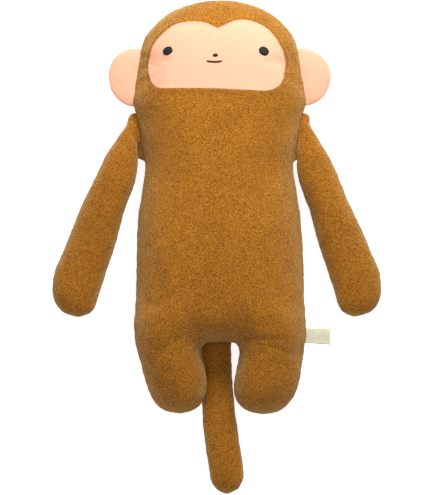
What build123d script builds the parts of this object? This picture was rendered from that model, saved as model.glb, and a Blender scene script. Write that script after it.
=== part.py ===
from build123d import *
from math import sqrt
import os

os.makedirs("parts", exist_ok=True)

# Stuffed monkey, lying on its back. Millimetres.
# +Z is the way the face looks, +Y points at the top of the head and +X at the toy's own left hand.
# The origin is on the centre line, in the flat of the back that the toy lies on.
# Each soft shape is a loft through ovals, with a fabric skin round a filling of fibre.

# Fabric thicknesses
TOWELLING = 2.5
VELOUR = 0.8
PATCH = 1.5
THREAD = 1.1
SATIN_FOLD = 1.2

# Body: the head and trunk are one bag, parted at a level seam round the sides
SEAM_Z = 48.0
BODY_END_Y = -176.0
CROTCH_Y = -168.75
CROTCH_HALF_WIDTH = 22.0
CROTCH_CORNER = 4.0
# distance from the hip line, half width, half thickness
BODY_OVALS = [
    (0, 106.0, 42.0),
    (18, 108.5, 48.0),
    (58, 106.5, 52.0),
    (108, 104.4, 53.0),
    (176, 99.8, 51.0),
    (224, 92.2, 49.0),
    (263, 98.4, 48.5),
    (285, 101.6, 48.2),
    (304, 107.2, 48.0),
    (333, 104.4, 47.5),
    (372, 98.0, 45.0),
    (396, 85.6, 40.5),
    (414, 66.0, 33.0),
    (426, 40.0, 22.0),
    (433, 9.0, 6.0),
]

# Arm: from the shoulder pivot down to the hand, which rests on the floor
SHOULDER = (114.5, 97.0, SEAM_Z)
HAND = (180.5, -105.0, 24.0)
ARM_OVALS = [
    (8, 13.0, 7.5),
    (20, 17.5, 11.0),
    (42, 23.0, 16.5),
    (95, 27.5, 21.0),
    (150, 29.5, 23.0),
    (205, 30.5, 23.6),
    (224, 27.0, 20.5),
    (238, 17.5, 13.5),
    (245, 6.0, 5.0),
]

# Shoulder tab: the flat end of the sleeve, sewn into the side seam
TAB_RADIUS = 14.0
TAB_HALF_THICKNESS = 5.5
TAB_OVERCUT = 1.0
TAB_CLEARANCE = 0.6
SHOULDER_SEAM_X = 106.5
SHOULDER_SEAM_LENGTH = 20.0
SEAM_ROLL_RADIUS = 2.2

# Leg: distance from the hip line, centre, height of centre, half width, half thickness
HIP_GAP = 0.6
LEG_OVALS = [
    (0, 64.5, -4.0, 41.5, 39.5),
    (28, 60.0, -6.0, 40.0, 38.0),
    (47, 56.5, -8.5, 37.5, 35.0),
    (64, 54.0, -11.0, 32.0, 30.0),
    (75, 53.0, -12.5, 23.0, 21.0),
    (80, 53.0, -13.0, 14.0, 12.0),
    (83, 53.0, -13.0, 6.0, 5.0),
]

# Tail: distance from its root, centre, half width, half thickness
TAIL_ROOT_Y = -169.5
TAIL_Z = 16.8
TAIL_OVALS = [
    (0, 0.0, 14.8, 12.4),
    (18, 0.0, 14.9, 13.4),
    (36, -0.6, 15.2, 14.2),
    (62, -1.0, 16.2, 15.2),
    (85, -0.3, 17.0, 15.8),
    (100, 0.0, 19.2, 16.0),
    (131, 4.4, 21.0, 16.3),
    (164, 9.0, 21.6, 16.2),
    (178, 9.4, 17.5, 13.5),
    (186, 9.6, 10.0, 8.0),
    (189.3, 9.6, 4.5, 4.0),
]
TAIL_SWAY_Y = -270.0
TAIL_SWAY_RADIUS = 19.0
TAIL_CURL_Y = -311.0
TAIL_GAP = 0.6

# Ear: a round pad of this radius, cut by the seam that holds it to the head
EAR_RADIUS = 35.0
EAR_CENTRE_BEHIND_SEAM = 3.0
EAR_Z = 50.0
EAR_SEAM_TOP = (101.5, 197.0)
EAR_SEAM_BOTTOM = (111.0, 127.0)
# distance from the seam, half thickness
EAR_OVALS = [(0, 2.6), (7, 4.6), (15, 5.6), (23, 4.8), (28, 3.2), (31.3, 1.5)]

# Face: x and y of the patch's outline, and of what is embroidered on it
PATCH_OUTLINE = [
    (-4, 222.5),
    (10, 229),
    (26, 232.5),
    (50, 226),
    (70, 209),
    (81, 186),
    (80, 165),
    (70, 149),
    (50, 145.5),
    (-50, 147),
    (-74, 147),
    (-86, 155),
    (-89.5, 171),
    (-84, 193),
    (-70, 214),
    (-48, 228.5),
    (-31, 230.8),
    (-16, 228),
]
EYE_SIZE = (5.9, 5.3)
RIGHT_EYE = (-64.9, 194.1)
LEFT_EYE = (55.6, 193.5)
NOSE = (-5.4, 188.1)
NOSE_SIZE = (3.1, 1.9)
MOUTH = (-6.5, 180.3)
MOUTH_LENGTH = 20.0
MOUTH_WIDTH = 2.5

# Side label: a strip folded in two, caught in the side seam
LABEL_START_X = 109.9
LABEL_END_X = 138.0
LABEL_Y = -163.2
LABEL_WIDTH = 18.5

# Closing stitches, across the centre back seam
STITCH_COUNT = 8
STITCH_PITCH = 8.0
STITCH_START_Y = -90.0
STITCH_SIZE = (5.0, 1.4, 1.0)

FAR = 1000.0


def stuffed(root, forward, ovals, inset=0.0):
    """A rounded bag along one direction: ovals are (distance, side, lift, half width, half thickness).

    inset shrinks every oval and draws it back towards the root, which gives the filling's shape."""
    way = Vector(*forward).normalized()
    level = Vector(0, 0, 1).cross(way).normalized()
    up = way.cross(level)
    sections = []
    for distance, side, lift, half_width, half_thickness in ovals:
        centre = Vector(*root) + way * (distance - inset) + level * side + up * lift
        plane = Plane(origin=centre, x_dir=up, z_dir=way)
        sections.append(plane * Ellipse(half_thickness - inset, half_width - inset))
    return loft(sections)


def block(x_range, y_range, z_range):
    """A box between two values on each axis."""
    size = [high - low for low, high in (x_range, y_range, z_range)]
    centre = [(high + low) / 2 for low, high in (x_range, y_range, z_range)]
    return Pos(*centre) * Box(*size)


def skin_and_filling(outer, inner, seam):
    """The front panel, the back panel and the filling of one bag, parted at the seam plane."""
    over = seam * Pos(0, 0, FAR / 2) * Box(FAR, FAR, FAR)
    under = seam * Pos(0, 0, -FAR / 2) * Box(FAR, FAR, FAR)
    front = (outer & over) - (inner & over)
    back = (outer & under) - (inner & under)
    return front, back, inner & outer


def other_side(shape):
    """The same piece on the toy's right, which is at negative x."""
    return mirror(shape, about=Plane.YZ)


def body_bag(inset=0.0):
    """The head and trunk before the back is flattened."""
    ovals = [(distance, 0, 0, width, depth) for distance, width, depth in BODY_OVALS]
    return stuffed((0, BODY_END_Y, SEAM_Z), (0, 1, 0), ovals, inset)


def body_shape(inset=0.0):
    """The bag with its flat back, and the rounded notch between the legs."""
    keep = block((-FAR, FAR), (BODY_END_Y, FAR), (inset, FAR))
    notch = block(
        (-CROTCH_HALF_WIDTH - inset, CROTCH_HALF_WIDTH + inset),
        (BODY_END_Y - CROTCH_HALF_WIDTH, CROTCH_Y + inset),
        (-FAR, FAR),
    )
    notch = fillet(notch.edges().filter_by(Axis.Z).group_by(Axis.Y)[-1], CROTCH_CORNER)
    return (body_bag(inset) & keep) - notch


def face_layer(outline, below, above):
    """A piece lying on the face, with this outline, between two heights over the towelling."""
    prism = extrude(Pos(0, 0, SEAM_Z) * outline, FAR, dir=(0, 0, 1))
    return (body_bag(-above) & prism) - body_bag(-below)


def stitches():
    """The row of ladder stitches that closes the back after filling."""
    width, length, depth = STITCH_SIZE
    row = []
    for number in range(STITCH_COUNT):
        y = STITCH_START_Y + number * STITCH_PITCH
        row.append(
            block(
                (-width / 2, width / 2),
                (y - length / 2, y + length / 2),
                (0, depth),
            )
        )
    return row


def make_body():
    front, back, filling = skin_and_filling(
        body_shape(), body_shape(TOWELLING), Plane(origin=(0, 0, SEAM_Z), z_dir=(0, 0, 1))
    )
    left_half = block((0, FAR), (-FAR, FAR), (-FAR, FAR))
    right_half = block((-FAR, 0), (-FAR, FAR), (-FAR, FAR))
    thread = stitches()
    return {
        "body_front_panel": front,
        "body_back_left_panel": (back & left_half) - thread,
        "body_back_right_panel": (back & right_half) - thread,
        "body_stuffing": filling,
        "closing_stitches": Compound(children=thread),
    }


def make_face():
    """The patch sewn on the front of the head, and the features embroidered on it."""
    patch = Face(Wire(Spline(*PATCH_OUTLINE, periodic=True)))
    top = PATCH + THREAD
    mouth = Pos(*MOUTH) * SlotOverall(MOUTH_LENGTH, MOUTH_WIDTH)
    return {
        "face_patch": face_layer(patch, 0, PATCH),
        "right_eye": face_layer(Pos(*RIGHT_EYE) * Ellipse(*EYE_SIZE), PATCH, top),
        "left_eye": face_layer(Pos(*LEFT_EYE) * Ellipse(*EYE_SIZE), PATCH, top),
        "nose": face_layer(Pos(*NOSE) * Ellipse(*NOSE_SIZE), PATCH, top),
        "mouth": face_layer(mouth, PATCH, top),
    }


def make_arm():
    """The left arm, beyond the shoulder tab."""
    forward = tuple(hand - shoulder for hand, shoulder in zip(HAND, SHOULDER))
    ovals = [(distance, 0, 0, width, depth) for distance, width, depth in ARM_OVALS]
    hollow = Pos(*SHOULDER) * Cylinder(TAB_RADIUS + TAB_CLEARANCE, FAR)
    outer = stuffed(SHOULDER, forward, ovals) - hollow
    inner = stuffed(SHOULDER, forward, ovals, TOWELLING) - hollow
    way = Vector(*forward).normalized()
    level = Vector(0, 0, 1).cross(way)
    seam = Plane(origin=SHOULDER, x_dir=way, z_dir=way.cross(level))
    return skin_and_filling(outer, inner, seam)


def make_shoulder_tab():
    """The left tab: a roll in the side seam, widening to the round end that the arm turns about."""
    x, y, z = SHOULDER
    profile = Polyline(
        (SHOULDER_SEAM_X, 0, z - SEAM_ROLL_RADIUS),
        (x, 0, z - TAB_HALF_THICKNESS),
        (x + TAB_RADIUS + TAB_OVERCUT, 0, z - TAB_HALF_THICKNESS),
        (x + TAB_RADIUS + TAB_OVERCUT, 0, z + TAB_HALF_THICKNESS),
        (x, 0, z + TAB_HALF_THICKNESS),
        (SHOULDER_SEAM_X, 0, z + SEAM_ROLL_RADIUS),
        close=True,
    )
    wedge = Pos(0, y, 0) * extrude(Face(Wire(profile)), TAB_RADIUS + TAB_OVERCUT, both=True)
    round_end = Pos(x, y, z) * Cylinder(TAB_RADIUS, 4 * TAB_HALF_THICKNESS)
    roll = Pos(SHOULDER_SEAM_X, y, z) * Rot(90, 0, 0)
    roll = roll * Cylinder(SEAM_ROLL_RADIUS, SHOULDER_SEAM_LENGTH)
    return (wedge & round_end) + roll


def make_leg():
    """The left leg, below the hip line."""
    root = (0, BODY_END_Y - HIP_GAP, SEAM_Z)
    below_hip = block((-FAR, FAR), (-FAR, BODY_END_Y - HIP_GAP), (-FAR, FAR))
    outer = stuffed(root, (0, -1, 0), LEG_OVALS) & below_hip
    inner = stuffed(root, (0, -1, 0), LEG_OVALS, TOWELLING) & below_hip
    seam = Plane(origin=(0, 0, SEAM_Z + LEG_OVALS[1][2]), z_dir=(0, 0, 1))
    return skin_and_filling(outer, inner, seam)


def make_ear():
    """The left ear, a round pad beyond its seam."""
    top = Vector(*EAR_SEAM_TOP, EAR_Z)
    bottom = Vector(*EAR_SEAM_BOTTOM, EAR_Z)
    root = (top + bottom) * 0.5
    along = (top - bottom).normalized()
    outward = along.cross(Vector(0, 0, 1))
    ovals = []
    for distance, depth in EAR_OVALS:
        half_width = sqrt(EAR_RADIUS**2 - (distance + EAR_CENTRE_BEHIND_SEAM) ** 2)
        ovals.append((distance, 0, 0, half_width, depth))
    outer = stuffed(root, outward, ovals)
    inner = stuffed(root, outward, ovals, VELOUR)
    seam = Plane(origin=(0, 0, EAR_Z), z_dir=(0, 0, 1))
    return skin_and_filling(outer, inner, seam)


def make_tail():
    """The tail's three lengths, each with its top panel, its under panel and its filling."""
    root = (0, TAIL_ROOT_Y, TAIL_Z)
    ovals = [(distance, side, 0, width, depth) for distance, side, width, depth in TAIL_OVALS]
    outer = stuffed(root, (0, -1, 0), ovals)
    inner = stuffed(root, (0, -1, 0), ovals, TOWELLING)
    seam = Plane(origin=(0, 0, TAIL_Z), z_dir=(0, 0, 1))
    turn = Pos(0, TAIL_SWAY_Y, TAIL_Z)
    upper = block((-FAR, FAR), (TAIL_SWAY_Y, TAIL_ROOT_Y), (-FAR, FAR))
    lower = block((-FAR, FAR), (TAIL_CURL_Y, TAIL_SWAY_Y), (-FAR, FAR))
    end = block((-FAR, FAR), (-FAR, TAIL_CURL_Y - TAIL_GAP), (-FAR, FAR))
    rooms = {
        "tail_base": upper - turn * Cylinder(TAIL_SWAY_RADIUS + TAIL_GAP, FAR),
        "tail_middle": lower + turn * Cylinder(TAIL_SWAY_RADIUS, FAR),
        "tail_tip": end,
    }
    pieces = {}
    for name, room in rooms.items():
        top, under, filling = skin_and_filling(outer & room, inner & room, seam)
        pieces[name + "_top_panel"] = top
        pieces[name + "_under_panel"] = under
        pieces[name + "_stuffing"] = filling
    return pieces


def make_label():
    return block(
        (LABEL_START_X, LABEL_END_X),
        (LABEL_Y - LABEL_WIDTH / 2, LABEL_Y + LABEL_WIDTH / 2),
        (SEAM_Z - SATIN_FOLD / 2, SEAM_Z + SATIN_FOLD / 2),
    )


pieces = {}
pieces.update(make_body())
pieces.update(make_face())
pieces.update(make_tail())
pieces["side_label"] = make_label()

for limb, maker in (("arm", make_arm), ("leg", make_leg), ("ear", make_ear)):
    for layer, shape in zip(("front_panel", "back_panel", "stuffing"), maker()):
        pieces[f"left_{limb}_{layer}"] = shape
        pieces[f"right_{limb}_{layer}"] = other_side(shape)

tab = make_shoulder_tab()
pieces["left_shoulder_tab"] = tab
pieces["right_shoulder_tab"] = other_side(tab)

for name, shape in pieces.items():
    export_step(shape, f"parts/{name}.step")
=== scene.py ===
"""Looks of the stuffed monkey: towelling skin, velour face and ears, embroidery and a blank label.

Tables are in millimetres in the part's frame: +X is the toy's own left, +Y the top of its head and
+Z its front, which faces up. The floor is at Z = 0.
"""

import math

import bmesh
import bpy
import numpy as np
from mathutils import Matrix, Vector, noise
from mathutils.bvhtree import BVHTree


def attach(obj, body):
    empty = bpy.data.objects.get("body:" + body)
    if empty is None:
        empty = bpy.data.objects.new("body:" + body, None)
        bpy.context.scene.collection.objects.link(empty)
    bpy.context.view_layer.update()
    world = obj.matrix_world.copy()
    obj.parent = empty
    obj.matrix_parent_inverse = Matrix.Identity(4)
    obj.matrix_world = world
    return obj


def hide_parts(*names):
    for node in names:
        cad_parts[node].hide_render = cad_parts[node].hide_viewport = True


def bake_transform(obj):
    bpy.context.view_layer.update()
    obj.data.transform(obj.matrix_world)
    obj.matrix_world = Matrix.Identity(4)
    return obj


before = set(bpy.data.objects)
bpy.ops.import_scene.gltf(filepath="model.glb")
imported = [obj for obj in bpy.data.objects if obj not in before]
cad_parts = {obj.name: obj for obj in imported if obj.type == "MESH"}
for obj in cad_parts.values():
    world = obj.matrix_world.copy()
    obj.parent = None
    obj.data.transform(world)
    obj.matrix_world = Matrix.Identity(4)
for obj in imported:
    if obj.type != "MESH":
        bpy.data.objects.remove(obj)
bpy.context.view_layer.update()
MM = 0.001
# height of the side seam of the head and trunk
SEAM_Z = 48.0

# ---------------------------------------------------------------- outlines, in millimetres

# (y, half width) of the head and trunk at the side seam
TRUNK_WIDTH = [
    (257.5, 3.0), (256.4, 14.0), (254.5, 25.0), (251.25, 37.5), (245, 54.5), (238.75, 65.5),
    (232.5, 74.2), (226.25, 80.6), (220, 86.2), (213.75, 91.0), (207.5, 94.4), (201.25, 96.8),
    (195, 98.2), (176.25, 101.3), (157.5, 105.0), (138.75, 108.0), (127.5, 108.4), (117.5, 105.0),
    (101.25, 100.6), (88.75, 98.6), (76.25, 96.25), (63.75, 93.6), (51.25, 92.4), (38.75, 93.8),
    (20, 96.8), (-5, 100.6), (-30, 103.1), (-67.5, 104.8), (-117.5, 106.7), (-161.25, 108.4),
    (-180, 106.4),
]
# (y, inner edge, outer edge) of each leg
LEFT_LEG = [
    (-150, 24, 108.4), (-169, 24, 107.6), (-182.5, 24, 105.4), (-200, 21.1, 103),
    (-217.5, 17.8, 100.4), (-230, 17.2, 97), (-242.5, 20.2, 91), (-250, 25.4, 84),
    (-255.6, 32.6, 76.6), (-259.5, 41, 67), (-261.2, 49, 58),
]
RIGHT_LEG = [
    (-150, 22.2, 106.6), (-169, 22.2, 105.4), (-186, 21.4, 102.2), (-200, 17.9, 98.6),
    (-217.5, 15.1, 93.4), (-230, 15.3, 89.4), (-240, 18.0, 85.0), (-247.5, 22.6, 80.4),
    (-254, 29.8, 73), (-258.4, 40, 63), (-260.4, 48, 54.6),
]
# top, middle, half width and corner radius of the notch between the legs
NOTCH_Y = -171.5
NOTCH_X = 0.8
NOTCH_HALF = 24.2
NOTCH_CORNER = 9.0
# (y, half thickness) and (y, height of the side seam)
THICKNESS = [
    (-260.5, 4), (-258, 11), (-254.5, 18), (-250, 23.5), (-242, 29.5), (-230, 34), (-215, 37),
    (-195, 39.5), (-176, 42.5), (-158, 46.5), (-118, 51), (-68, 53), (0, 51), (48, 49), (87, 48.5),
    (128, 48), (157, 47.5), (196, 45.5), (220, 41.5), (236, 35), (247, 26), (253.5, 17), (257.5, 7),
]
SEAM_HEIGHT = [
    (-260, 34.5), (-250, 35.5), (-240, 37), (-223, 39.5), (-204, 42), (-182, 44.6), (-160, 47),
    (-135, 48), (257.5, 48),
]
# how far in from an edge the stuffing reaches its full height, and how round that rise is
EDGE_LENGTH = 36.0
EDGE_POWER = 0.52
# spacing of the body's rows, and the voxel that joins trunk and legs
BODY_STEP = 3.5
BODY_VOXEL = 4.2
# below the waist, the toy's right edge is this much nearer to the middle
RIGHT_HIP_IN = 2.0
# the left hip's crease: its height at the middle of the hip
HIP_CREASE_Y = -166.5

# Rows of an arm at +X: inner x, y, outer x, y, half thickness, height. The right arm is mirrored
ARM_ROWS = [
    (90, 80, 96, 116, 2.5, 48), (97, 79.5, 102, 117, 3.2, 48), (101.9, 78.8, 106.9, 116.9, 4.2, 48),
    (102.4, 73.4, 114.0, 113.2, 6.8, 47.6), (102.4, 67.4, 117.2, 102.5, 10, 47),
    (102.2, 60.5, 126.8, 90, 13, 46), (102.0, 52.5, 134.6, 77.5, 16, 44.8),
    (102.8, 43.5, 141.8, 66.3, 18.2, 43.2), (105.0, 32, 150.0, 50, 20.2, 41),
    (109.8, 17.5, 160.4, 28.8, 21.6, 38.6), (117.4, -1.2, 166.6, 16.2, 22.6, 36),
    (124.8, -27, 178.4, -9, 23, 32.6), (132.2, -51.7, 187.4, -32.7, 23.4, 29.4),
    (140.4, -76, 198.0, -58.6, 23.6, 26.6), (147.0, -95, 208.3, -84, 23.6, 24.8),
    (150.2, -104.5, 210, -102, 23.2, 24.4), (153.4, -115.5, 208, -116, 21.2, 24.2),
    (157.0, -126, 201.5, -127, 17.0, 24), (162.0, -132.6, 193.5, -133.5, 12.0, 23.8),
    (168.0, -136, 186, -136.6, 7.0, 23.6), (173.8, -137.3, 179.5, -137.5, 2.4, 23.5),
]
# heights of the arm's seams: (y, height)
ARM_SEAM = [(100, 48), (40, 42), (0, 36), (-50, 29.5), (-100, 24.6)]
# the left hand lies this much nearer to the body, and the left elbow is this much slimmer
LEFT_ARM_INBOARD = 5.6
LEFT_ELBOW_SLIM = 3.0

# (y, centre x, half width, half thickness, height) of the tail
TAIL_ROWS = [
    (-140, -2, 10, 7.5, 26), (-150, -3, 15, 10.5, 23), (-160, -4, 18.8, 12.5, 19),
    (-173.75, -4.2, 19.6, 13.6, 16.5), (-190, -3.9, 19.5, 14, 15.6),
    (-206.25, -3.5, 19.7, 14.3, 15.4), (-226, -2.7, 20.2, 14.9, 15.6),
    (-246.25, -1.4, 21.0, 15.6, 16.2), (-270, 0.6, 21.6, 16, 16.6), (-301.25, 4.4, 21.9, 16.3, 17),
    (-325, 7.8, 22.0, 16.3, 17), (-338, 9.2, 21.2, 15.8, 16.8), (-348, 9.3, 17.8, 13.6, 16.6),
    (-354.5, 9.2, 12.4, 9.6, 16.4), (-358, 9, 6.8, 5.4, 16.2), (-359.3, 9, 2.6, 2.2, 16),
]
TAIL_SEAM_Z = 16.4
# where the skin is cut into pieces: legs from the body, and the tail in three
LEG_CUT = -160.0
TAIL_CUTS = (-214.0, -289.0)

EAR_RADIUS = 35.4
EAR_CENTRE = (103.6, 161.0)
EAR_Z = 50.0
EAR_BULGE = 6.4
EAR_CUP = 3.0
# the part of the ear nearer to the middle than this is deep inside the head
EAR_HIDDEN = 88.0

# outline of the velour patch, anticlockwise from the point of the brow
FACE_OUTLINE = [
    (-2.6, 221.0), (-8.8, 224.0), (-15.5, 227.1), (-23.1, 229.0), (-34.6, 229.6), (-48, 228.1),
    (-57.5, 224.8), (-67.1, 218.1), (-76.7, 208.6), (-83.4, 199.0), (-87.2, 185.8), (-89.0, 174.3),
    (-88.3, 164.8), (-85.3, 155.3), (-78.6, 147.6), (-67.1, 146.0), (-42.2, 146.0), (-15.4, 146.0),
    (11.4, 144.8), (34.3, 143.8), (57.3, 142.8), (70.7, 146.7), (78.3, 155.3), (81.2, 168.6),
    (82.2, 180.0), (79.3, 192.4), (73.5, 203.8), (66.8, 213.4), (59.2, 221.0), (49.6, 226.7),
    (39.1, 230.4), (30.5, 231.8), (22.8, 231.2), (17.1, 229.9), (9.4, 226.7), (2.6, 223.3),
]
FACE_CENTRE = (-4.2, 186.0)
# width of one thread of the embroidery
THREAD_WIDTH = 0.62
# spacing of the zigzag stitches round the patch, and how far they reach inside and outside it
ZIGZAG_STEP = 1.9
ZIGZAG_IN = 1.1
ZIGZAG_OUT = 0.7
# a height above everything, in metres, for looking down on the body
ABOVE_ALL = 0.3

LABEL_THICKNESS = 0.28

# cloth simulation of the stuffing
PRESSURE = 4.0
SWELL_FRAMES = 20
# how far the towelling's loops stand up and down from the cloth
LOOP_HEIGHT = 0.28
# the softness of the edge where a shape lies on the floor, before and after it is stuffed
FLOOR_EDGE = 3.0
LYING_EDGE = 1.5


def curve(table, at):
    """Smooth values through a table of (position, value) pairs."""
    places, values = np.array(sorted(table), float).T
    slopes = np.gradient(values, places)
    at = np.clip(np.asarray(at, float), places[0], places[-1])
    i = np.clip(np.searchsorted(places, at) - 1, 0, len(places) - 2)
    gap = places[i + 1] - places[i]
    t = (at - places[i]) / gap
    return (
        (2 * t**3 - 3 * t**2 + 1) * values[i]
        + (t**3 - 2 * t**2 + t) * gap * slopes[i]
        + (3 * t**2 - 2 * t**3) * values[i + 1]
        + (t**3 - t**2) * gap * slopes[i + 1]
    )


def ramp(value, start, end):
    """0 before start, 1 after end, smooth between."""
    t = np.clip((np.asarray(value, float) - start) / (end - start), 0, 1)
    return t * t * (3 - 2 * t)


def bell(value, middle, width):
    """1 at the middle, falling off on both sides."""
    return np.exp(-(((value - middle) / width) ** 2))


# ---------------------------------------------------------------- meshes


def make(name, points, faces):
    """A smooth mesh object from points in millimetres."""
    mesh = bpy.data.meshes.new(name)
    mesh.from_pydata((np.asarray(points, float) * MM).tolist(), [], faces)
    mesh.update()
    mesh.polygons.foreach_set("use_smooth", [True] * len(mesh.polygons))
    obj = bpy.data.objects.new(name, mesh)
    bpy.context.scene.collection.objects.link(obj)
    return obj


def points_of(obj):
    """The mesh's points in millimetres."""
    flat = np.empty(len(obj.data.vertices) * 3)
    obj.data.vertices.foreach_get("co", flat)
    return flat.reshape(-1, 3) / MM


def set_points(obj, points):
    obj.data.vertices.foreach_set("co", (np.asarray(points) * MM).ravel())
    obj.data.update()


def normals_of(obj):
    flat = np.empty(len(obj.data.vertices) * 3)
    obj.data.vertices.foreach_get("normal", flat)
    return flat.reshape(-1, 3)


def apply_modifiers(obj):
    """Turns the object's modifiers into its mesh."""
    bpy.context.view_layer.update()
    graph = bpy.context.evaluated_depsgraph_get()
    mesh = bpy.data.meshes.new_from_object(obj.evaluated_get(graph))
    obj.modifiers.clear()
    obj.data = mesh
    obj.data.polygons.foreach_set("use_smooth", [True] * len(mesh.polygons))
    return obj


def ring_faces(rings, count):
    """Faces between closed rings of points that follow each other."""
    faces = []
    for r in range(rings - 1):
        low, high = r * count, (r + 1) * count
        for i in range(count):
            j = (i + 1) % count
            faces.append((low + i, low + j, high + j, high + i))
    return faces


def tube(name, rings):
    """A closed tube through rings of points that all have the same count."""
    count = len(rings[0])
    faces = ring_faces(len(rings), count)
    points = np.concatenate(rings)
    first, last = len(points), len(points) + 1
    points = np.concatenate([points, [rings[0].mean(0), rings[-1].mean(0)]])
    top = (len(rings) - 1) * count
    for i in range(count):
        j = (i + 1) % count
        faces.append((first, j, i))
        faces.append((last, top + i, top + j))
    obj = make(name, points, faces)
    outward(obj)
    return obj


def outward(obj):
    """Turns all faces outward."""
    bm = bmesh.new()
    bm.from_mesh(obj.data)
    bmesh.ops.recalc_face_normals(bm, faces=bm.faces)
    bm.to_mesh(obj.data)
    bm.free()
    obj.data.update()


def subdivide(obj):
    obj.modifiers.new("finer", "SUBSURF").levels = 1
    return apply_modifiers(obj)


def smooth(obj, factor, repeat):
    modifier = obj.modifiers.new("even", "SMOOTH")
    modifier.factor = factor
    modifier.iterations = repeat
    return apply_modifiers(obj)


def remesh(obj, size):
    modifier = obj.modifiers.new("even", "REMESH")
    modifier.mode = "VOXEL"
    modifier.voxel_size = size * MM
    return apply_modifiers(obj)


def inflate(obj, pinned, cap, growth):
    """Cloth under pressure: pinned points stay, and no point moves further than cap millimetres."""
    before = points_of(obj)
    group = obj.vertex_groups.new(name="pinned")
    group.add([int(i) for i in np.flatnonzero(pinned)], 1.0, "REPLACE")
    modifier = obj.modifiers.new("stuffing", "CLOTH")
    cloth = modifier.settings
    cloth.quality = 5
    cloth.mass = 0.35
    cloth.tension_stiffness = 18
    cloth.compression_stiffness = 18
    cloth.shear_stiffness = 6
    cloth.bending_stiffness = 0.6
    cloth.air_damping = 3
    cloth.use_pressure = True
    cloth.uniform_pressure_force = PRESSURE
    cloth.shrink_min = -growth
    cloth.vertex_group_mass = group.name
    cloth.pin_stiffness = 1.0
    cloth.effector_weights.gravity = 0
    modifier.collision_settings.use_collision = False
    scene = bpy.context.scene
    modifier.point_cache.frame_start = 1
    modifier.point_cache.frame_end = SWELL_FRAMES
    for number in range(1, SWELL_FRAMES + 1):
        scene.frame_set(number)
    apply_modifiers(obj)
    scene.frame_set(1)
    moved = points_of(obj) - before
    far = np.linalg.norm(moved, axis=1, keepdims=True)
    share = np.where(far > 1e-9, cap * np.tanh(far / cap) / np.maximum(far, 1e-9), 0)
    set_points(obj, before + moved * share)
    return obj


def grain(points, size, seed, depth=2):
    """Smooth noise from about -1 to 1 at each point, with features of this size in millimetres."""
    shift = Vector((seed * 17.3, seed * 5.1, seed * 9.7))
    return np.array([noise.fractal(Vector(p / size) + shift, 1.0, 2.0, depth) for p in points])


def lumps(obj, seed, coarse):
    """Uneven filling under the cloth, less so in the head, and the loops that stand up from it."""
    points, normals = points_of(obj), normals_of(obj)
    height = coarse * grain(points, 46, seed) + 0.45 * coarse * grain(points, 17, seed + 3)
    height *= 1 - 0.55 * ramp(points[:, 1], 100, 150)
    height += LOOP_HEIGHT * grain(points, 3.4, seed + 7, 1)
    set_points(obj, points + normals * height[:, None])
    return obj


def stuff(obj, pinned, cap, growth, seed, unevenness):
    """Swells a closed skin and makes it finer and uneven."""
    inflate(obj, pinned, cap, growth)
    subdivide(obj)
    lumps(obj, seed, unevenness)


def on_floor(points, soft):
    """Flattens what would be below the floor, with a soft edge."""
    z = points[:, 2]
    points[:, 2] = np.where(z > soft, z, soft * np.exp(np.minimum(z - soft, 0) / soft))
    return points


def lie_down(obj):
    """Rests the finished skin on the floor."""
    set_points(obj, on_floor(points_of(obj), LYING_EDGE))


def seam_shares(above, flat, narrow, wide, steep, gentle):
    """How much each point is in a side seam's groove, and how much among the puckers beside it.

    above is the height over the seam, flat the share of the normal that lies in the toy's plane.
    """
    return bell(above, 0, narrow) * ramp(flat, *steep), bell(above, 0, wide) * ramp(flat, *gentle)


def puckers(points, squash, size, seed):
    """Noise drawn out along Z, across the seam."""
    return grain(points * np.array((1, 1, squash)), size, seed, 2)


# ---------------------------------------------------------------- body and legs


def notch_distance(x, y):
    """Distance from a point to the rounded notch between the legs."""
    across = np.maximum(np.abs(x - NOTCH_X) - (NOTCH_HALF - NOTCH_CORNER), 0)
    along = np.maximum(y - (NOTCH_Y - NOTCH_CORNER), 0)
    return np.maximum(np.hypot(across, along) - NOTCH_CORNER, 0)


def rise(distance):
    """Share of the full thickness at this distance from an edge."""
    return 1 - np.exp(-np.maximum(distance, 0) / EDGE_LENGTH)


def section(y, low, high, notched, count=56):
    """One closed ring across the body or a leg, from low to high in x."""
    turn = np.linspace(-math.pi / 2, math.pi / 2, count)
    x = (low + high) / 2 + (high - low) / 2 * np.sin(turn)
    share = rise(x - low) * rise(high - x)
    if notched:
        share = share * rise(notch_distance(x, y))
    share = np.maximum(share / share.max(), 0) ** EDGE_POWER
    depth = float(curve(THICKNESS, y)) * share
    seam = float(curve(SEAM_HEIGHT, y))
    front = np.stack([x, np.full(count, y), seam + depth], 1)
    back = np.stack([x, np.full(count, y), seam - depth], 1)[::-1]
    return np.concatenate([front, back[1:-1]])


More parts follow.
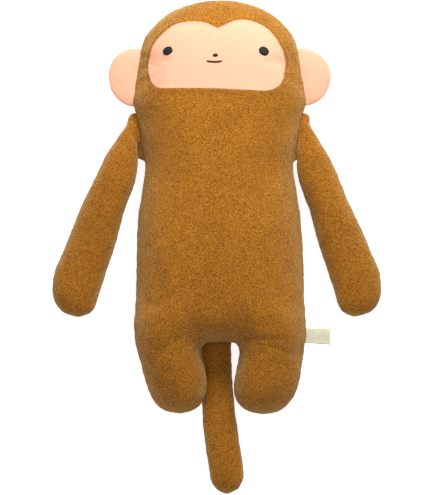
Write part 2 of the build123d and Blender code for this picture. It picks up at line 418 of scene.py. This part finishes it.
def body_mesh():
    """Head, trunk and legs in one skin."""
    top = 256.3
    heights = [top - 0.28 * step**2 for step in range(8)]
    heights += list(np.arange(heights[-1] - BODY_STEP, NOTCH_Y + 0.5, -BODY_STEP))
    rings = []
    for y in heights:
        half = 1.004 * float(curve(TRUNK_WIDTH, y))
        rings.append(section(y, RIGHT_HIP_IN * float(ramp(-y, 20, 120)) - half, half, True))
    parts = [tube("whole_skin", rings)]
    for table, side in ((LEFT_LEG, 1), (RIGHT_LEG, -1)):
        bottom = table[-1][0]
        heights = list(np.arange(-156.0, -242.0, -BODY_STEP))
        heights += [bottom + 0.22 * step**2 for step in range(8, -1, -1)]
        rings = []
        for y in heights:
            inner, outer = (float(curve([(row[0], row[k]) for row in table], y)) for k in (1, 2))
            rings.append(section(y, *sorted((inner * side, outer * side)), False))
        parts.append(tube("leg", rings))
    bpy.ops.object.select_all(action="DESELECT")
    for part in parts:
        part.select_set(True)
    bpy.context.view_layer.objects.active = parts[0]
    bpy.ops.object.join()
    body = remesh(parts[0], BODY_VOXEL)
    keep_largest(body)
    smooth(body, 0.5, 5)
    set_points(body, on_floor(points_of(body), FLOOR_EDGE))
    return body


def keep_largest(obj):
    """Removes any loose shell that the remeshing left inside."""
    bm = bmesh.new()
    bm.from_mesh(obj.data)
    seen, best = set(), []
    for start in bm.verts:
        if start in seen:
            continue
        island, todo = [], [start]
        seen.add(start)
        while todo:
            vert = todo.pop()
            island.append(vert)
            for edge in vert.link_edges:
                other = edge.other_vert(vert)
                if other not in seen:
                    seen.add(other)
                    todo.append(other)
        if len(island) > len(best):
            best = island
    kept = set(best)
    bmesh.ops.delete(bm, geom=[v for v in bm.verts if v not in kept], context="VERTS")
    bm.to_mesh(obj.data)
    bm.free()


def seam_height(points):
    return curve(SEAM_HEIGHT, points[:, 1])


def inside_outline(x, y, outline):
    """True where a point is inside the closed outline, and its distance to the outline."""
    ends = np.roll(outline, -1, axis=0)
    inside = np.zeros(len(x), bool)
    distance = np.full(len(x), 1e9)
    for (x1, y1), (x2, y2) in zip(outline, ends):
        crosses = ((y1 > y) != (y2 > y)) & (x < (x2 - x1) * (y - y1) / (y2 - y1 + 1e-12) + x1)
        inside ^= crosses
        span = max((x2 - x1) ** 2 + (y2 - y1) ** 2, 1e-9)
        t = np.clip(((x - x1) * (x2 - x1) + (y - y1) * (y2 - y1)) / span, 0, 1)
        distance = np.minimum(distance, np.hypot(x - x1 - t * (x2 - x1), y - y1 - t * (y2 - y1)))
    return inside, distance


def face_outline(count=720):
    """The velour patch's outline: smooth, with the point of the brow in the middle."""
    knots = np.array(FACE_OUTLINE)
    around = np.concatenate([knots[-2:], knots, knots[:2]])
    result = []
    per = count // len(knots)
    for k in range(len(knots)):
        a, b, c, d = around[k + 1], around[k + 2], around[k + 3], around[(k + 4) % len(around)]
        if k == 0:
            a = 2 * b - c
        if k == len(knots) - 1:
            d = 2 * c - b
        for step in range(per):
            t = step / per
            result.append(
                0.5
                * (
                    2 * b
                    + (c - a) * t
                    + (2 * a - 5 * b + 4 * c - d) * t**2
                    + (3 * b - a - 3 * c + d) * t**3
                )
            )
    result = np.array(result)
    # the pile overlaps the edge unevenly
    outside = result - FACE_CENTRE
    outside /= np.linalg.norm(outside, axis=1, keepdims=True)
    ragged = 0.34 * grain(np.column_stack([result, np.zeros(len(result))]), 1.7, 51, 1)
    return result + outside * ragged[:, None]


OUTLINE = face_outline()


def body_details(body):
    """Seams, the brow dart, the patch's bed, the creases and the gathers at the shoulders."""
    points, normals = points_of(body), normals_of(body)
    x, y, z = points.T
    front = ramp(z, 52, 60)
    back = ramp(-z, -30, -6)
    above, flat = z - seam_height(points), np.linalg.norm(normals[:, :2], axis=1)
    near, spread = seam_shares(above, flat, 2.6, 13.0, (0.5, 0.9), (0.25, 0.8))
    move = -1.4 * near + 0.42 * spread * puckers(points, 0.12, 8.5, 21)
    # dart from the brow to the crown
    move -= 1.1 * (bell(x, -4.6, 1.9) * front * ramp(y, 219, 226))
    # the patch is pressed into the pile, which stands up round it
    inside, distance = inside_outline(x, y, OUTLINE)
    ridge = bell(distance, 2.2, 2.2) * ~inside
    press = ramp(distance, 0, 3) * inside
    move += front * (0.75 * ridge - 0.9 * press)
    # the crease of the left hip, a little curved, and the hollow over the notch
    crease_y = HIP_CREASE_Y + 0.05 * (x - 60) ** 2 / 12
    move -= 1.5 * (bell(y, crease_y, 3.2) * ramp(x, 18, 40) * ramp(-x, -96, -70) * front)
    move -= 4.8 * (bell(x, 6, 17) * bell(y, -128, 26) * front)
    # the back is gathered out towards the arm below the shoulder
    gather = bell(z, 37, 8.5) * ramp(y, 54, 61) * ramp(-y, -88, -76)
    reach = 13.0 * gather * np.sign(x) * ramp(np.abs(x), 78, 92)
    # centre back seam
    groove = bell(x, 0, 1.9) * back * ramp(-y, -252, -246) * ramp(y, -166, -160)
    points = points + normals * move[:, None]
    points[:, 0] += reach
    points[:, 2] += 1.3 * groove
    set_points(body, points)


def split(obj, labels, names):
    """Cuts a mesh into pieces by a label for each face. Cut edges keep the whole mesh's normals."""
    mesh = obj.data
    normals = normals_of(obj)
    points = points_of(obj)
    loops = [tuple(p.vertices) for p in mesh.polygons]
    pieces = []
    for label, name in enumerate(names):
        faces = [face for face, own in zip(loops, labels) if own == label]
        used = np.unique(np.concatenate([np.array(face) for face in faces]))
        index = {int(v): i for i, v in enumerate(used)}
        piece = make(name, points[used], [tuple(index[v] for v in face) for face in faces])
        piece.data.normals_split_custom_set_from_vertices(normals[used].tolist())
        for material in mesh.materials:
            piece.data.materials.append(material)
        pieces.append(piece)
    bpy.data.objects.remove(obj)
    return pieces


def face_centres(obj):
    flat = np.empty(len(obj.data.polygons) * 3)
    obj.data.polygons.foreach_get("center", flat)
    return flat.reshape(-1, 3) / MM


# ---------------------------------------------------------------- limbs


def resample(rows, spacing):
    """Smooth rows along a limb, this far apart."""
    rows = np.array(rows, float)
    steps = np.linalg.norm(np.diff(rows[:, :2], axis=0), axis=1)
    at = np.concatenate([[0], np.cumsum(steps)])
    fine = np.linspace(0, at[-1], max(int(at[-1] / spacing), 8))
    return np.stack([curve(list(zip(at, column)), fine) for column in rows.T], 1)


def arm_mesh(side):
    """An arm, flat where it is sewn in and round from the elbow down."""
    rows, middles = [], []
    for inner_x, inner_y, outer_x, outer_y, depth, height in ARM_ROWS:
        inner, outer = np.array((inner_x, inner_y)), np.array((outer_x, outer_y))
        rows.append([*(inner + outer) / 2, *(outer - inner) / 2, depth, height])
        middles.append((inner_y / 2 + outer_y / 2, inner_x / 2 + outer_x / 2))
    turn = np.linspace(0, 2 * math.pi, 49)[:-1]
    wide = np.sign(np.cos(turn)) * np.abs(np.cos(turn)) ** 0.96
    deep = np.sign(np.sin(turn)) * np.abs(np.sin(turn)) ** 0.96
    rings = [
        np.stack([cx + hx * wide, cy + hy * wide, height + depth * deep], 1)
        for cx, cy, hx, hy, depth, height in resample(rows, 4.0)
    ]
    arm = tube(f"{side}_arm_skin", rings)
    points = points_of(arm)
    x, y = points[:, 0], points[:, 1]
    if side == "left":
        x -= LEFT_ARM_INBOARD * ramp(-y, -120, -92)
        x -= LEFT_ELBOW_SLIM * bell(y, 4, 26) * ramp(x - curve(middles, y), -4, 20)
    else:
        x *= -1
    set_points(arm, on_floor(points, FLOOR_EDGE))
    outward(arm)
    return arm


def arm_details(arm, seed):
    """Gathers that run down from the shoulder, and the seams on both edges."""
    points, normals = points_of(arm), normals_of(arm)
    out, y = np.abs(points[:, 0]), points[:, 1]
    root = np.exp(-np.maximum((out - 106) * 0.75 + (117 - y) * 0.42, 0) / 15)
    angle = (y - 98) * 0.9 + (out - 106) * 0.25
    gathers = np.cos(angle / 5.2 + 0.6 * np.sin(angle / 9)) * root
    above, flat = points[:, 2] - curve(ARM_SEAM, y), np.linalg.norm(normals[:, :2], axis=1)
    near, spread = seam_shares(above, flat, 2.4, 10.0, (0.6, 0.92), (0.3, 0.8))
    move = 1.0 * gathers * ramp(out, 98, 106) - 1.3 * near * ramp(out, 112, 125)
    move += 0.4 * spread * puckers(points, 0.15, 8.0, seed + 40)
    set_points(arm, points + normals * move[:, None])


def tail_mesh():
    """The tail, an oval tube."""
    turn = np.linspace(0, 2 * math.pi, 45)[:-1]
    rows = [[cx, y, half, depth, height] for y, cx, half, depth, height in TAIL_ROWS]
    wide, deep = np.cos(turn), np.sin(turn)
    rings = [
        np.stack([cx + half * wide, np.full(len(turn), y), height + depth * deep], 1)
        for cx, y, half, depth, height in resample(rows, 3.6)
    ]
    tail = tube("tail", rings)
    set_points(tail, on_floor(points_of(tail), FLOOR_EDGE))
    return tail


def tail_details(tail):
    """The seams on both edges of the tail."""
    points, normals = points_of(tail), normals_of(tail)
    above, flat = points[:, 2] - TAIL_SEAM_Z, np.abs(normals[:, 0])
    near, spread = seam_shares(above, flat, 2.0, 8.0, (0.6, 0.92), (0.3, 0.8))
    move = -1.1 * near + 0.6 * spread * puckers(points, 0.15, 8.0, 77)
    set_points(tail, points + normals * move[:, None])


def ear_mesh(side):
    """A round velour pad with a seamed rim, its inner edge tucked into the side of the head."""
    sign = 1 if side == "left" else -1
    turns, rings = 96, 22
    points = []
    for face in (1, -1):
        for r in range(rings + 1):
            share = math.sin(math.pi / 2 * r / rings)
            for i in range(turns):
                angle = 2 * math.pi * i / turns
                rim = EAR_RADIUS * (1 + 0.012 * math.sin(3 * angle + sign))
                x = rim * share * math.cos(angle)
                y = rim * 1.02 * share * math.sin(angle)
                bulge = EAR_BULGE * max(1 - share**2.6, 0) ** 0.6
                # the pad narrows where it goes into the head's seam
                bulge *= 0.5 + 0.5 * float(ramp(x, -20, 12))
                points.append((x, y, face * bulge))
    front = ring_faces(rings + 1, turns)
    count = (rings + 1) * turns
    back = [tuple(count + i for i in face[::-1]) for face in front]
    points = np.array(points)
    # a shallow cup towards the front
    outer = ramp(points[:, 0], -12, 30)
    points[:, 2] += EAR_CUP * (np.hypot(points[:, 0], points[:, 1]) / EAR_RADIUS) ** 2 * outer
    points[:, 0] = sign * (points[:, 0] + EAR_CENTRE[0])
    points[:, 1] += EAR_CENTRE[1]
    points[:, 2] += EAR_Z
    ear = make(f"{side}_ear_pad", points, front + back)
    bm = bmesh.new()
    bm.from_mesh(ear.data)
    bmesh.ops.remove_doubles(bm, verts=bm.verts, dist=0.05 * MM)
    hidden = [v for v in bm.verts if abs(v.co.x) < EAR_HIDDEN * MM]
    bmesh.ops.delete(bm, geom=hidden, context="VERTS")
    bmesh.ops.recalc_face_normals(bm, faces=bm.faces)
    bm.to_mesh(ear.data)
    bm.free()
    return ear


def ear_details(ear, seed):
    """Puckers round the rim and an uneven pad."""
    points, normals = points_of(ear), normals_of(ear)
    from_centre = np.hypot(np.abs(points[:, 0]) - EAR_CENTRE[0], points[:, 1] - EAR_CENTRE[1])
    rim = bell(EAR_RADIUS, from_centre, 7.0)
    move = 0.35 * rim * grain(points, 7.0, seed) + 0.5 * grain(points, 22, seed + 2)
    set_points(ear, points + normals * move[:, None])


# ---------------------------------------------------------------- face, label and stitches


def drop(tree, x, y):
    """Where a line straight down at x, y meets the surface, and its normal there, or None twice."""
    hit, normal, _, _ = tree.ray_cast(Vector((x * MM, y * MM, ABOVE_ALL)), Vector((0, 0, -1)))
    return hit, normal


def drape(tree, x, y, height):
    """The point over x, y at this height above the front of the body."""
    hit, normal = drop(tree, x, y)
    return np.array(hit) / MM + np.array(normal) * height


def laid(name, points, rings, count):
    """A disc of rings, from its rim to its middle, that faces up."""
    faces = ring_faces(rings + 1, count)
    faces.append(tuple(rings * count + i for i in range(count)))
    obj = make(name, points, faces)
    if obj.data.polygons[-1].normal.z < 0:
        obj.data.flip_normals()
    return obj


def disc(name, outline, centre, tree, height, rings, edge):
    """A patch inside an outline, laid on the body, rounded down to it at its edge."""
    centre = np.array(centre)
    points = []
    for r in range(rings + 1):
        share = 1 - (r / rings) ** 1.35 if r < rings else 0.004
        inward = (1 - share) * 40
        over = height * math.sqrt(1 - max(1 - inward / edge, 0) ** 2)
        points += [drape(tree, px, py, over) for px, py in centre + (outline - centre) * share]
    return laid(name, points, rings, len(outline))


def embroidered(name, centre, half, tilt, tree, height, power, bow):
    """A satin-stitched shape: threads side by side, each a small ridge."""
    count, rings = 72, 22
    along = np.array((math.cos(tilt), math.sin(tilt)))
    across = np.array((-along[1], along[0]))
    points = []
    for r in range(rings + 1):
        share = math.sin(math.pi / 2 * (1 - r / rings)) if r < rings else 0.01
        dome = height * max(1 - share**2.4, 0) ** 0.5
        for i in range(count):
            angle = 2 * math.pi * i / count
            u = np.sign(math.cos(angle)) * abs(math.cos(angle)) ** (2 / power) * half[0] * share
            v = np.sign(math.sin(angle)) * abs(math.sin(angle)) ** (2 / power) * half[1] * share
            ragged = 1 + 0.03 * math.sin(u * 2 * math.pi / THREAD_WIDTH) * share
            flat = np.array(centre) + along * u + across * (v * ragged + bow * (u / half[0]) ** 2)
            ridge = 0.16 * abs(math.sin(math.pi * u / THREAD_WIDTH)) * (1 - share**6)
            points.append(drape(tree, *flat, dome + ridge + 0.15))
    return laid(name, points, rings, count)


def threads(name, paths, radius):
    """Short lengths of thread along lists of points in millimetres."""
    line = bpy.data.curves.new(name, "CURVE")
    line.dimensions = "3D"
    line.bevel_depth = radius * MM
    line.bevel_resolution = 2
    for path in paths:
        spline = line.splines.new("POLY")
        spline.points.add(len(path) - 1)
        for point, co in zip(spline.points, path):
            point.co = (*(np.asarray(co) * MM), 1)
    obj = bpy.data.objects.new(name, line)
    bpy.context.scene.collection.objects.link(obj)
    bpy.context.view_layer.update()
    graph = bpy.context.evaluated_depsgraph_get()
    mesh = bpy.data.meshes.new_from_object(obj.evaluated_get(graph))
    bpy.data.objects.remove(obj)
    mesh.polygons.foreach_set("use_smooth", [True] * len(mesh.polygons))
    result = bpy.data.objects.new(name, mesh)
    bpy.context.scene.collection.objects.link(result)
    return result


def label_mesh():
    """A ribbon folded in two, with its cut ends in the side seam."""
    start, end, middle, width = 103.0, 137.4, -161.6, 18.4
    steps = [step / 14 for step in range(15)]
    path = [(start + (end - start) * t, 0.62 + 0.25 * math.sin(math.pi * t)) for t in steps]
    for step in range(1, 8):
        angle = math.pi * step / 8
        path.append((end + 0.7 * math.sin(angle), 0.62 * math.cos(angle)))
    for step in range(15):
        t = 1 - step / 14
        path.append((start + (end - start) * t, -0.62 - 0.15 * math.sin(math.pi * t)))
    points, faces, columns = [], [], 15
    for x, z in path:
        out = (x - start) / (end - start)
        for k in range(columns):
            v = k / (columns - 1) - 0.5
            sag = -2.2 * out**2 + 0.9 * math.sin(v * 5.0 + 0.5) * out
            y = middle + v * (width + 1.8 * out) - 1.7 * out
            points.append((x, y, SEAM_Z + z + sag))
    for r in range(len(path) - 1):
        for k in range(columns - 1):
            a = r * columns + k
            faces.append((a, a + 1, a + 1 + columns, a + columns))
    label = make("side_ribbon_label", points, faces)
    outward(label)
    solid = label.modifiers.new("cloth", "SOLIDIFY")
    solid.thickness = LABEL_THICKNESS * MM
    solid.offset = 0
    apply_modifiers(label)
    return label


# ---------------------------------------------------------------- materials


WHITE = (1, 1, 1)


class Nodes:
    """Short way to build one material's nodes."""

    def __init__(self, name):
        self.material = bpy.data.materials.new(name)
        self.material.use_nodes = True
        self.tree = self.material.node_tree
        self.shader = self.tree.nodes["Principled BSDF"]
        self.place = self.add("ShaderNodeTexCoord").outputs["Object"]

    def feed(self, socket, value):
        """Links an output to a socket, or sets the socket's own value."""
        if isinstance(value, bpy.types.NodeSocket):
            self.tree.links.new(value, socket)
        else:
            socket.default_value = value

    def add(self, kind, **values):
        node = self.tree.nodes.new(kind)
        for key, value in values.items():
            self.feed(node.inputs[key], value)
        return node

    def noise(self, scale, detail=2.0, rough=0.55, distortion=0.0):
        return self.add(
            "ShaderNodeTexNoise",
            Vector=self.place, Scale=scale, Detail=detail, Roughness=rough, Distortion=distortion,
        ).outputs["Fac"]

    def wave(self, scale, distortion, direction):
        """Ribs at right angles to one axis."""
        node = self.add(
            "ShaderNodeTexWave", Vector=self.place, Scale=scale, Distortion=distortion, Detail=1.0
        )
        node.bands_direction = direction
        return node.outputs["Fac"]

    def math(self, kind, a, b):
        node = self.tree.nodes.new("ShaderNodeMath")
        node.operation = kind
        self.feed(node.inputs[0], a)
        self.feed(node.inputs[1], b)
        return node.outputs[0]

    def colours(self, factor, stops):
        """A colour for each value of the factor, between the stops."""
        node = self.tree.nodes.new("ShaderNodeValToRGB")
        band = node.color_ramp.elements
        while len(band) < len(stops):
            band.new(0.5)
        for element, (at, colour) in zip(band, stops):
            element.position = at
            element.color = (*colour, 1)
        self.feed(node.inputs[0], factor)
        return node.outputs[0]

    def shaded(self, colour, shade):
        """One colour multiplied by another."""
        node = self.tree.nodes.new("ShaderNodeMix")
        node.data_type = "RGBA"
        node.blend_type = "MULTIPLY"
        for place, value in ((0, 1.0), (6, colour), (7, shade)):
            self.feed(node.inputs[place], value)
        return node.outputs[2]

    def finish(
        self, colour, height, depth, rough, sheen=0.0, sheen_rough=0.5, tint=WHITE, strength=1.0
    ):
        """The finished material. depth is the height of its relief in metres."""
        bump = self.add("ShaderNodeBump", Height=height, Distance=depth, Strength=strength)
        for key, value in (
            ("Normal", bump.outputs[0]), ("Base Color", colour), ("Roughness", rough),
            ("Specular IOR Level", 0.25), ("Sheen Weight", sheen), ("Sheen Roughness", sheen_rough),
            ("Sheen Tint", (*tint, 1)),
        ):
            self.feed(self.shader.inputs[key], value)
        return self.material


def towelling():
    """Mustard-brown looped towelling: loops about 1.5 mm apart on a slant, brushed unevenly."""
    n = Nodes("brown_towelling_pile")
    warp = n.add("ShaderNodeTexNoise", Vector=n.place, Scale=260.0, Detail=1.0)
    bent = n.tree.nodes.new("ShaderNodeVectorMath")
    bent.operation = "MULTIPLY_ADD"
    for place, value in enumerate((warp.outputs["Color"], (0.0022, 0.0022, 0.0022), n.place)):
        n.feed(bent.inputs[place], value)
    slant = n.add("ShaderNodeMapping", Vector=bent.outputs[0])
    slant.inputs["Rotation"].default_value = (0, 0, math.radians(-40))
    slant.inputs["Scale"].default_value = (1.0, 1.7, 1.3)
    loops = n.add("ShaderNodeTexVoronoi", Vector=slant.outputs[0], Scale=660.0)
    loops.feature = "F1"
    tufts = n.math("SUBTRACT", 1.0, n.math("MULTIPLY", loops.outputs["Distance"], 1.35))
    fibre = n.noise(1500.0, 2.0)
    clump = n.noise(280.0, 3.0, 0.6, 0.4)
    broad = n.noise(26.0, 3.0, 0.6, 0.4)
    height = n.math("ADD", n.math("MULTIPLY", tufts, 0.62), n.math("MULTIPLY", clump, 0.45))
    height = n.math("ADD", height, n.math("MULTIPLY", fibre, 0.16))
    # colour of the loops from their height: darker between the loops as painted shade, lighter at
    # their tips as a painted highlight
    base = n.colours(
        tufts,
        [(0.08, (0.190, 0.064, 0.003)), (0.5, (0.404, 0.152, 0.008)), (0.95, (0.77, 0.335, 0.030))],
    )
    shade = n.colours(clump, [(0.33, (0.90, 0.89, 0.88)), (0.66, (1.07, 1.07, 1.08))])
    patchy = n.colours(broad, [(0.33, (0.90, 0.89, 0.87)), (0.67, (1.06, 1.06, 1.06))])
    colour = n.shaded(n.shaded(base, shade), patchy)
    return n.finish(colour, height, 0.0012, 0.96, 0.5, 0.33, (1.0, 0.81, 0.38), 0.95)


def velour():
    """Peach velour with a short, slightly mottled pile."""
    n = Nodes("peach_velour_pile")
    pile = n.noise(900.0, 3.0, 0.65)
    mottle = n.noise(60.0, 3.0, 0.6, 0.5)
    base = n.colours(mottle, [(0.3, (0.73, 0.350, 0.224)), (0.7, (0.75, 0.364, 0.234))])
    shade = n.colours(pile, [(0.3, (0.93, 0.92, 0.91)), (0.7, (1.03, 1.03, 1.03))])
    height = n.math("ADD", n.math("MULTIPLY", pile, 0.8), n.math("MULTIPLY", mottle, 0.12))
    return n.finish(n.shaded(base, shade), height, 0.0005, 0.9, 0.12, 0.4, (1.0, 0.8, 0.68), 0.6)


def thread(name, dark, light, rough):
    """Embroidery thread: fine twisted strands."""
    n = Nodes(name)
    strand = n.noise(2600.0, 2.0, 0.6)
    coarse = n.noise(500.0, 2.0)
    colour = n.colours(strand, [(0.3, dark), (0.75, light)])
    height = n.math("ADD", strand, n.math("MULTIPLY", coarse, 0.5))
    return n.finish(colour, height, 0.00025, rough, 0.02, 0.4)


def satin():
    """Pale woven satin ribbon, with fine ribs across it."""
    n = Nodes("label_satin_weave")
    ribs, weft = n.wave(420.0, 0.6, "X"), n.wave(520.0, 0.4, "Y")
    height = n.math("ADD", ribs, n.math("MULTIPLY", weft, 0.6))
    base = n.colours(n.noise(120.0, 2.0), [(0.3, (0.56, 0.52, 0.37)), (0.7, (0.64, 0.60, 0.45))])
    shade = n.colours(ribs, [(0.0, (0.92, 0.92, 0.90)), (1.0, (1.02, 1.02, 1.02))])
    return n.finish(n.shaded(base, shade), height, 0.0001, 0.42, 0.1, 0.3, WHITE, 0.5)


# ---------------------------------------------------------------- build

TOWELLING = towelling()
VELOUR = velour()
DARK_THREAD = thread("dark_embroidery_thread", (0.003, 0.0025, 0.0025), (0.014, 0.012, 0.012), 0.6)
PEACH_THREAD = thread("peach_edging_thread", (0.58, 0.30, 0.18), (0.72, 0.40, 0.26), 0.7)
BROWN_THREAD = thread("brown_sewing_thread", (0.20, 0.085, 0.016), (0.34, 0.16, 0.04), 0.7)
SATIN = satin()


def dress(obj, material):
    obj.data.materials.clear()
    obj.data.materials.append(material)
    return obj


def clad(obj):
    return dress(obj, TOWELLING)


body = body_mesh()
rest = points_of(body)
sideways = np.linalg.norm(normals_of(body)[:, :2], axis=1)
on_seam = (np.abs(rest[:, 2] - seam_height(rest)) < 3.2) & (sideways > 0.6)
stuff(body, on_seam | (rest[:, 2] < 1.5), 3.2, 0.012, 1, 0.62)
body_details(body)
lie_down(body)
body.data.materials.append(TOWELLING)

tree = BVHTree.FromObject(body, bpy.context.evaluated_depsgraph_get())
centres = face_centres(body)
labels = np.where(centres[:, 1] > LEG_CUT, 0, np.where(centres[:, 0] > 0, 1, 2))
body, left_leg, right_leg = split(body, labels, ["body_skin", "left_leg_skin", "right_leg_skin"])
clad(body)
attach(body, "torso")
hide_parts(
    "body_front_panel", "body_back_left_panel", "body_back_right_panel", "body_stuffing"
)
for side, leg in (("left", left_leg), ("right", right_leg)):
    clad(leg)
    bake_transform(leg)
    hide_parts(*[f"{side}_leg_{part}" for part in ("front_panel", "back_panel", "stuffing")])

for side, seed in (("left", 5), ("right", 8)):
    arm = arm_mesh(side)
    rest = points_of(arm)
    stuff(arm, (np.abs(rest[:, 0]) < 108) | (rest[:, 2] < 1.0), 2.2, 0.015, seed, 0.6)
    arm_details(arm, seed)
    lie_down(arm)
    clad(arm)
    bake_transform(arm)
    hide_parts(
        f"{side}_shoulder_tab",
        *[f"{side}_arm_{part}" for part in ("front_panel", "back_panel", "stuffing")],
    )

tail = tail_mesh()
rest = points_of(tail)
stuff(tail, (rest[:, 1] > -165) | (rest[:, 2] < 1.0), 1.5, 0.02, 12, 0.55)
tail_details(tail)
lie_down(tail)
tail.data.materials.append(TOWELLING)
centres = face_centres(tail)
labels = np.where(centres[:, 1] > TAIL_CUTS[0], 0, np.where(centres[:, 1] > TAIL_CUTS[1], 1, 2))
root, middle, tip = split(tail, labels, ["tail_root_skin", "tail_middle_skin", "tail_tip_skin"])
for piece, a, b, start, end in (
    (root, "torso", "tail_base", -0.160, -0.205),
    (middle, "tail_base", "tail_middle", -0.248, -0.286),
    (tip, "tail_middle", "tail_tip", -0.293, -0.330),
):
    clad(piece)
    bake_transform(piece)
    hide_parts(*[f"{b}_{part}" for part in ("top_panel", "under_panel", "stuffing")])

for side, seed in (("left", 31), ("right", 34)):
    ear = ear_mesh(side)
    ear_details(ear, seed)
    dress(ear, VELOUR)
    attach(ear, f"{side}_ear")
    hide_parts(*[f"{side}_ear_{part}" for part in ("front_panel", "back_panel", "stuffing")])

patch = disc("face_patch_velour", OUTLINE, FACE_CENTRE, tree, 1.3, 40, 2.2)
dress(patch, VELOUR)
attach(patch, "torso")
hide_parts("face_patch")

patch_tree = BVHTree.FromObject(patch, bpy.context.evaluated_depsgraph_get())
# name, node, centre, half size, tilt, height, squareness and bow of each embroidered shape
for name, node, centre, half, tilt, height, power, bow in (
    ("right_eye_embroidery", "right_eye", (-64.4, 192.8), (6.4, 5.1), 0.55, 1.0, 2.2, 0.0),
    ("left_eye_embroidery", "left_eye", (55.2, 192.4), (6.5, 5.4), -0.6, 1.0, 2.2, 0.0),
    ("nose_embroidery", "nose", (-5.2, 187.2), (3.3, 2.2), 0.12, 0.7, 2.2, 0.0),
    ("mouth_embroidery", "mouth", (-6.4, 178.9), (9.9, 1.25), 0.0, 0.7, 3.6, 1.2),
):
    shape = embroidered(name, centre, half, tilt, patch_tree, height, power, bow)
    dress(shape, DARK_THREAD)
    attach(shape, "torso")
    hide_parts(node)

# zigzag stitches that hold the patch down
steps = np.linalg.norm(np.roll(OUTLINE, -1, axis=0) - OUTLINE, axis=1)
at = np.concatenate([[0], np.cumsum(steps)])
closed = np.concatenate([OUTLINE, OUTLINE[:1]])
count = int(at[-1] / ZIGZAG_STEP) * 2
zigzag = []
for i in range(count):
    s = at[-1] * i / count
    on_edge = np.array((np.interp(s, at, closed[:, 0]), np.interp(s, at, closed[:, 1])))
    inward = FACE_CENTRE - on_edge
    inward = inward / np.linalg.norm(inward)
    place = on_edge + inward * (ZIGZAG_IN if i % 2 else -ZIGZAG_OUT)
    surface = patch_tree if i % 2 and drop(patch_tree, *place)[0] is not None else tree
    zigzag.append(drape(surface, *place, 0.15))
zigzag.append(zigzag[0])
edging = threads("face_patch_stitching", [zigzag], 0.17)
dress(edging, PEACH_THREAD)
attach(edging, "torso")

# ladder stitches that close the centre back seam
RUNG = [(-2.8, -0.6, 1.5), (-1.4, -0.2, 0.62), (0, 0, 0.75), (1.4, 0.2, 0.62), (2.8, 0.6, 1.5)]
ladder = [[(x, -90.0 + 8.0 * number + y, z) for x, y, z in RUNG] for number in range(8)]
closing = threads("back_closing_stitches", ladder, 0.5)
dress(closing, BROWN_THREAD)
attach(closing, "torso")
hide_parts("closing_stitches")

label = label_mesh()
dress(label, SATIN)
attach(label, "label")
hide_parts("side_label")

# ---------------------------------------------------------------- floor, light and camera

FLOOR_HALF, FLOOR_Z, FLOOR_GLOW = 3000, -0.4, 0.8
WORLD_LIGHT = 0.42
# the camera looks straight down from far away, so that nothing is foreshortened
HIGH = 9.0
FRAME_HEIGHT = 0.61875
FRAME_CENTRE = (-0.0025, -0.0519)
SENSOR = 24.0


def stage_floor():
    """A pale floor that glows a little, so that it stays white round the toy."""
    half = FLOOR_HALF
    corners = ((-half, -half), (half, -half), (half, half), (-half, half))
    floor = make("floor", [(x, y, FLOOR_Z) for x, y in corners], [(0, 1, 2, 3)])
    n = Nodes("pale_floor")
    tone = n.colours(n.noise(3.0), [(0.3, (0.50, 0.50, 0.50)), (0.7, (0.53, 0.53, 0.53))])
    n.finish(tone, n.noise(40.0), 0.0001, 0.9)
    n.shader.inputs["Emission Color"].default_value = (*WHITE, 1)
    n.shader.inputs["Emission Strength"].default_value = FLOOR_GLOW
    floor.data.materials.append(n.material)


def light(name, place, target, size, watts):
    """A round lamp at a place in metres, turned to its target."""
    lamp = bpy.data.lights.new(name, "AREA")
    lamp.shape = "DISK"
    lamp.size = size
    lamp.energy = watts
    obj = bpy.data.objects.new(name, lamp)
    obj.location = place
    obj.rotation_euler = (Vector(target) - Vector(place)).to_track_quat("-Z", "Y").to_euler()
    bpy.context.scene.collection.objects.link(obj)


stage_floor()
light("key", (0.16, 0.94, 0.82), (0, 0.0, 0.05), 0.55, 22)
light("fill", (0.05, -0.1, 2.1), (0, 0.0, 0), 1.0, 11)
world = bpy.data.worlds.new("soft white room")
bpy.context.scene.world = world
world.use_nodes = True
background = world.node_tree.nodes["Background"]
background.inputs["Color"].default_value = (*WHITE, 1)
background.inputs["Strength"].default_value = WORLD_LIGHT

camera = bpy.data.cameras.new("camera")
camera.sensor_fit = "VERTICAL"
camera.sensor_height = SENSOR
camera.lens = SENSOR * HIGH / FRAME_HEIGHT
eye = bpy.data.objects.new("camera", camera)
eye.location = (*FRAME_CENTRE, HIGH + SEAM_Z * MM)
bpy.context.scene.collection.objects.link(eye)
bpy.context.scene.camera = eye
bpy.context.scene.view_settings.view_transform = "Standard"
bpy.context.scene.view_settings.look = "None"
